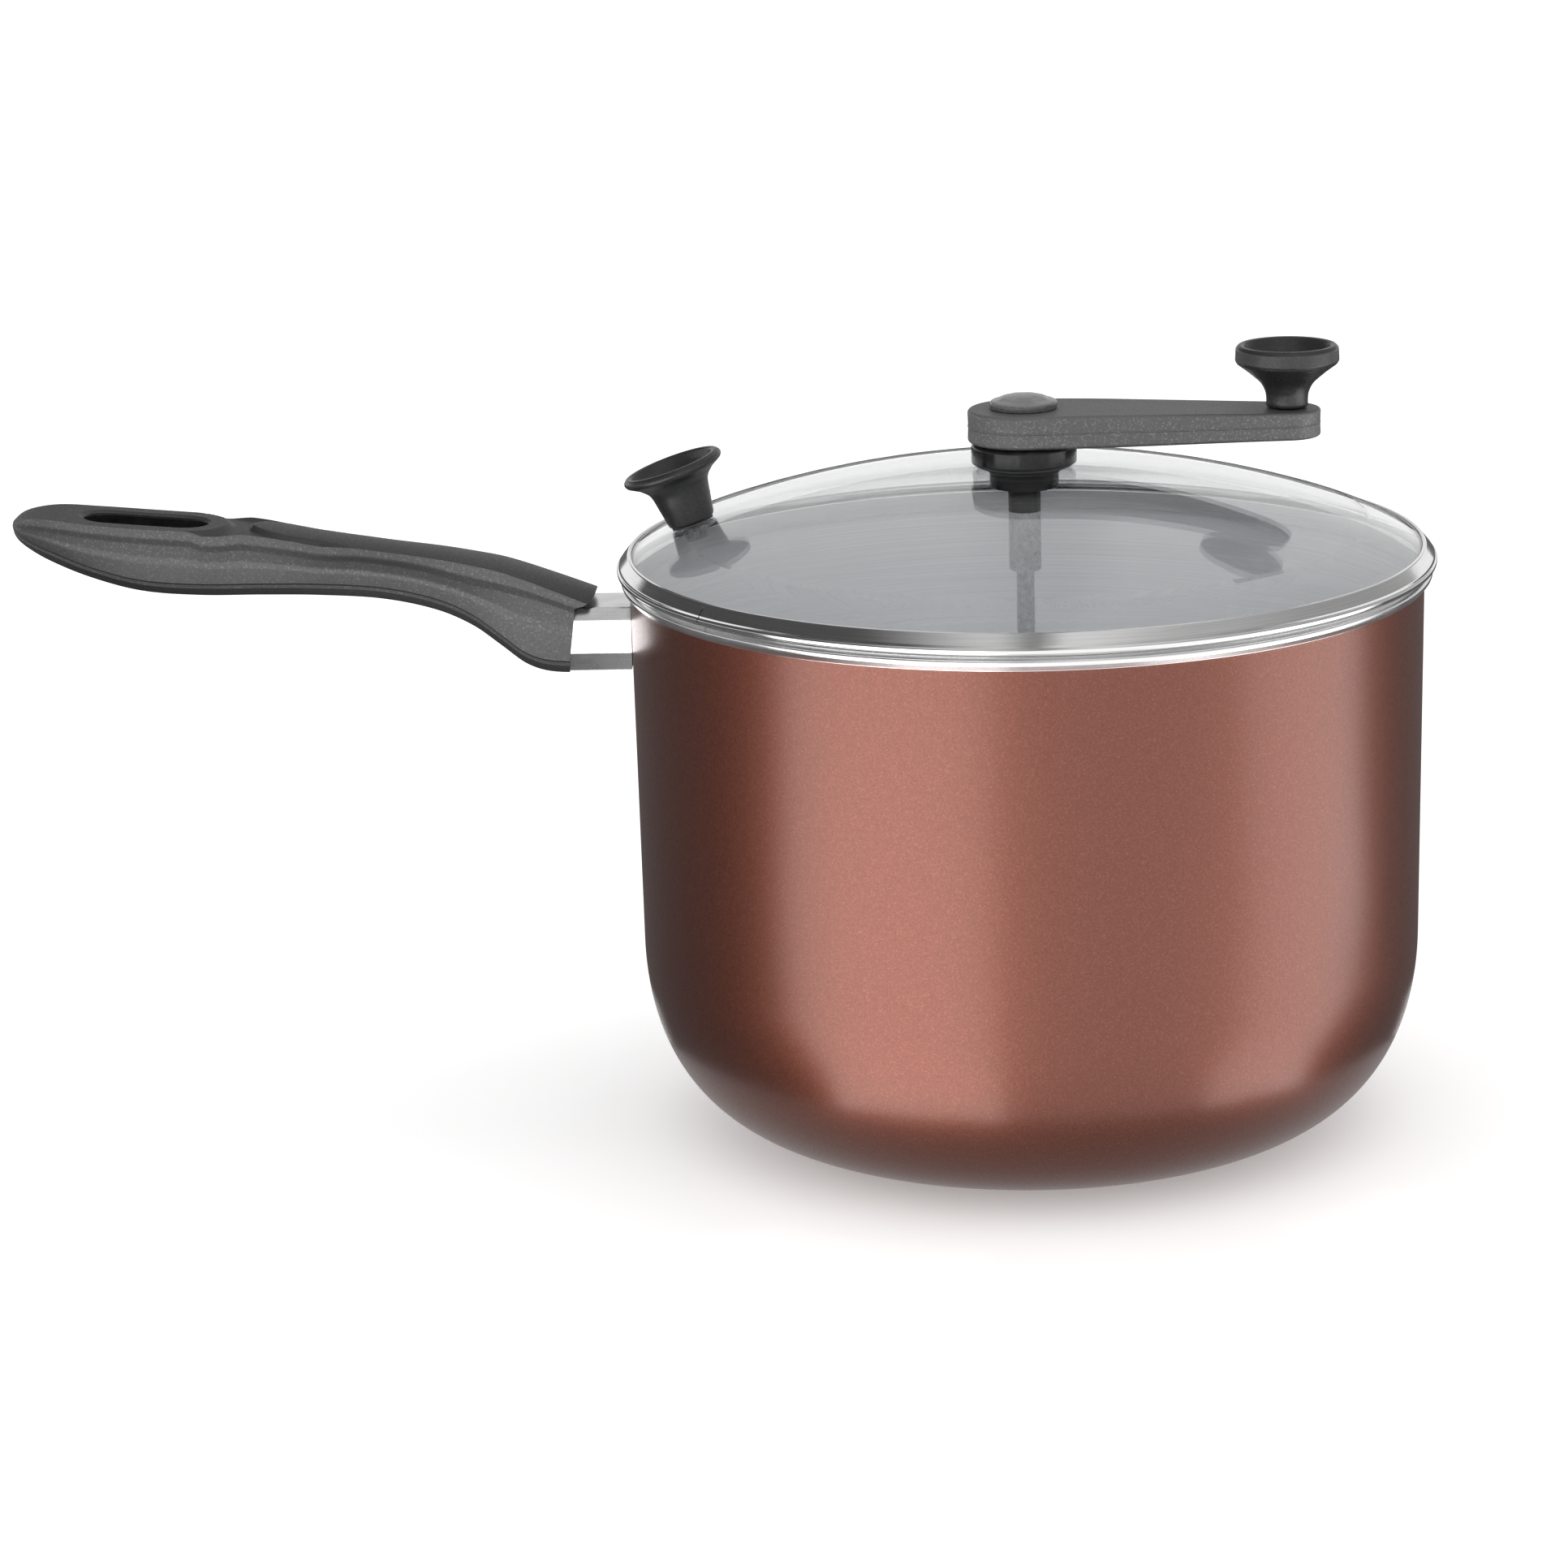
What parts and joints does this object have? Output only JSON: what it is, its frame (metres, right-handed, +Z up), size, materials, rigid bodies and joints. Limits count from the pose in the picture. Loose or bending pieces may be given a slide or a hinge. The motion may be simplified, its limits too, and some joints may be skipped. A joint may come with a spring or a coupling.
{
  "type": "stove-top popcorn maker",
  "caption": "Deep round saucepan with a long side handle, a domed glass lid with a steel band, and a crank on the lid that turns a wire stirrer inside the pot.",
  "frame": {"origin": "centre of the flat outside face of the pot's base, on the crank's axis", "axes": "+Z up along the crank's axis; the long handle points along -X and the crank arm along +X at rest"},
  "size_m": [0.3996, 0.2288, 0.2214],
  "materials": {
    "copper_paint": "metallic copper-red enamel outside, bare satin aluminium inside and on the lip",
    "polished_steel": "polished stainless steel",
    "plain_steel": "plain zinc-plated or stainless steel",
    "bright_metal": "satin aluminium",
    "bakelite": "matte black phenolic moulding with a fine speckle",
    "black_nylon": "glossy black moulding",
    "clear_glass": "clear tempered glass",
    "seal_rubber": "matte silicone rubber",
    "brass": "machined brass"
  },
  "bodies": {
    "pot": {"pot_body": "copper_paint", "handle_bracket": "plain_steel", "bracket_rivets": "bright_metal", "flame_guard": "polished_steel", "handle_grip": "bakelite", "handle_washer": "plain_steel", "handle_screw": "plain_steel"},
    "lid": {"lid_glass": "clear_glass", "lid_band": "polished_steel", "lid_knob": "bakelite", "knob_insert": "brass", "lid_knob_seal": "seal_rubber", "lid_knob_washer": "plain_steel", "lid_knob_screw": "plain_steel", "spindle_bush": "black_nylon", "bush_seal": "seal_rubber", "nut_seal": "seal_rubber", "bush_nut": "black_nylon"},
    "crank": {"crank_arm": "bakelite", "crank_washer": "plain_steel", "crank_screw": "plain_steel", "crank_cap": "black_nylon", "drive_spindle": "black_nylon", "spindle_clip": "plain_steel", "rod_coupling": "plain_steel", "coupling_pins": "plain_steel", "stirrer_rod": "plain_steel", "stirrer_hub": "bright_metal", "hub_set_screw": "plain_steel", "long_wire": "plain_steel", "short_wire": "plain_steel", "knob_pin": "plain_steel"},
    "crank_knob": {"crank_knob": "bakelite"}
  },
  "joints": [
    {"name": "lid_lift", "type": "slide", "parent": "pot", "child": "lid", "axis": [0, 0, 1], "range_m": [0, 0.17]},
    {"name": "crank_turn", "type": "hinge", "parent": "lid", "child": "crank", "pos_m": [0, 0, 0.197], "axis": [0, 0, 1], "continuous": true},
    {"name": "crank_knob_spin", "type": "hinge", "parent": "crank", "child": "crank_knob", "pos_m": [0.073, 0, 0.205], "axis": [0, 0, 1], "continuous": true}
  ]
}
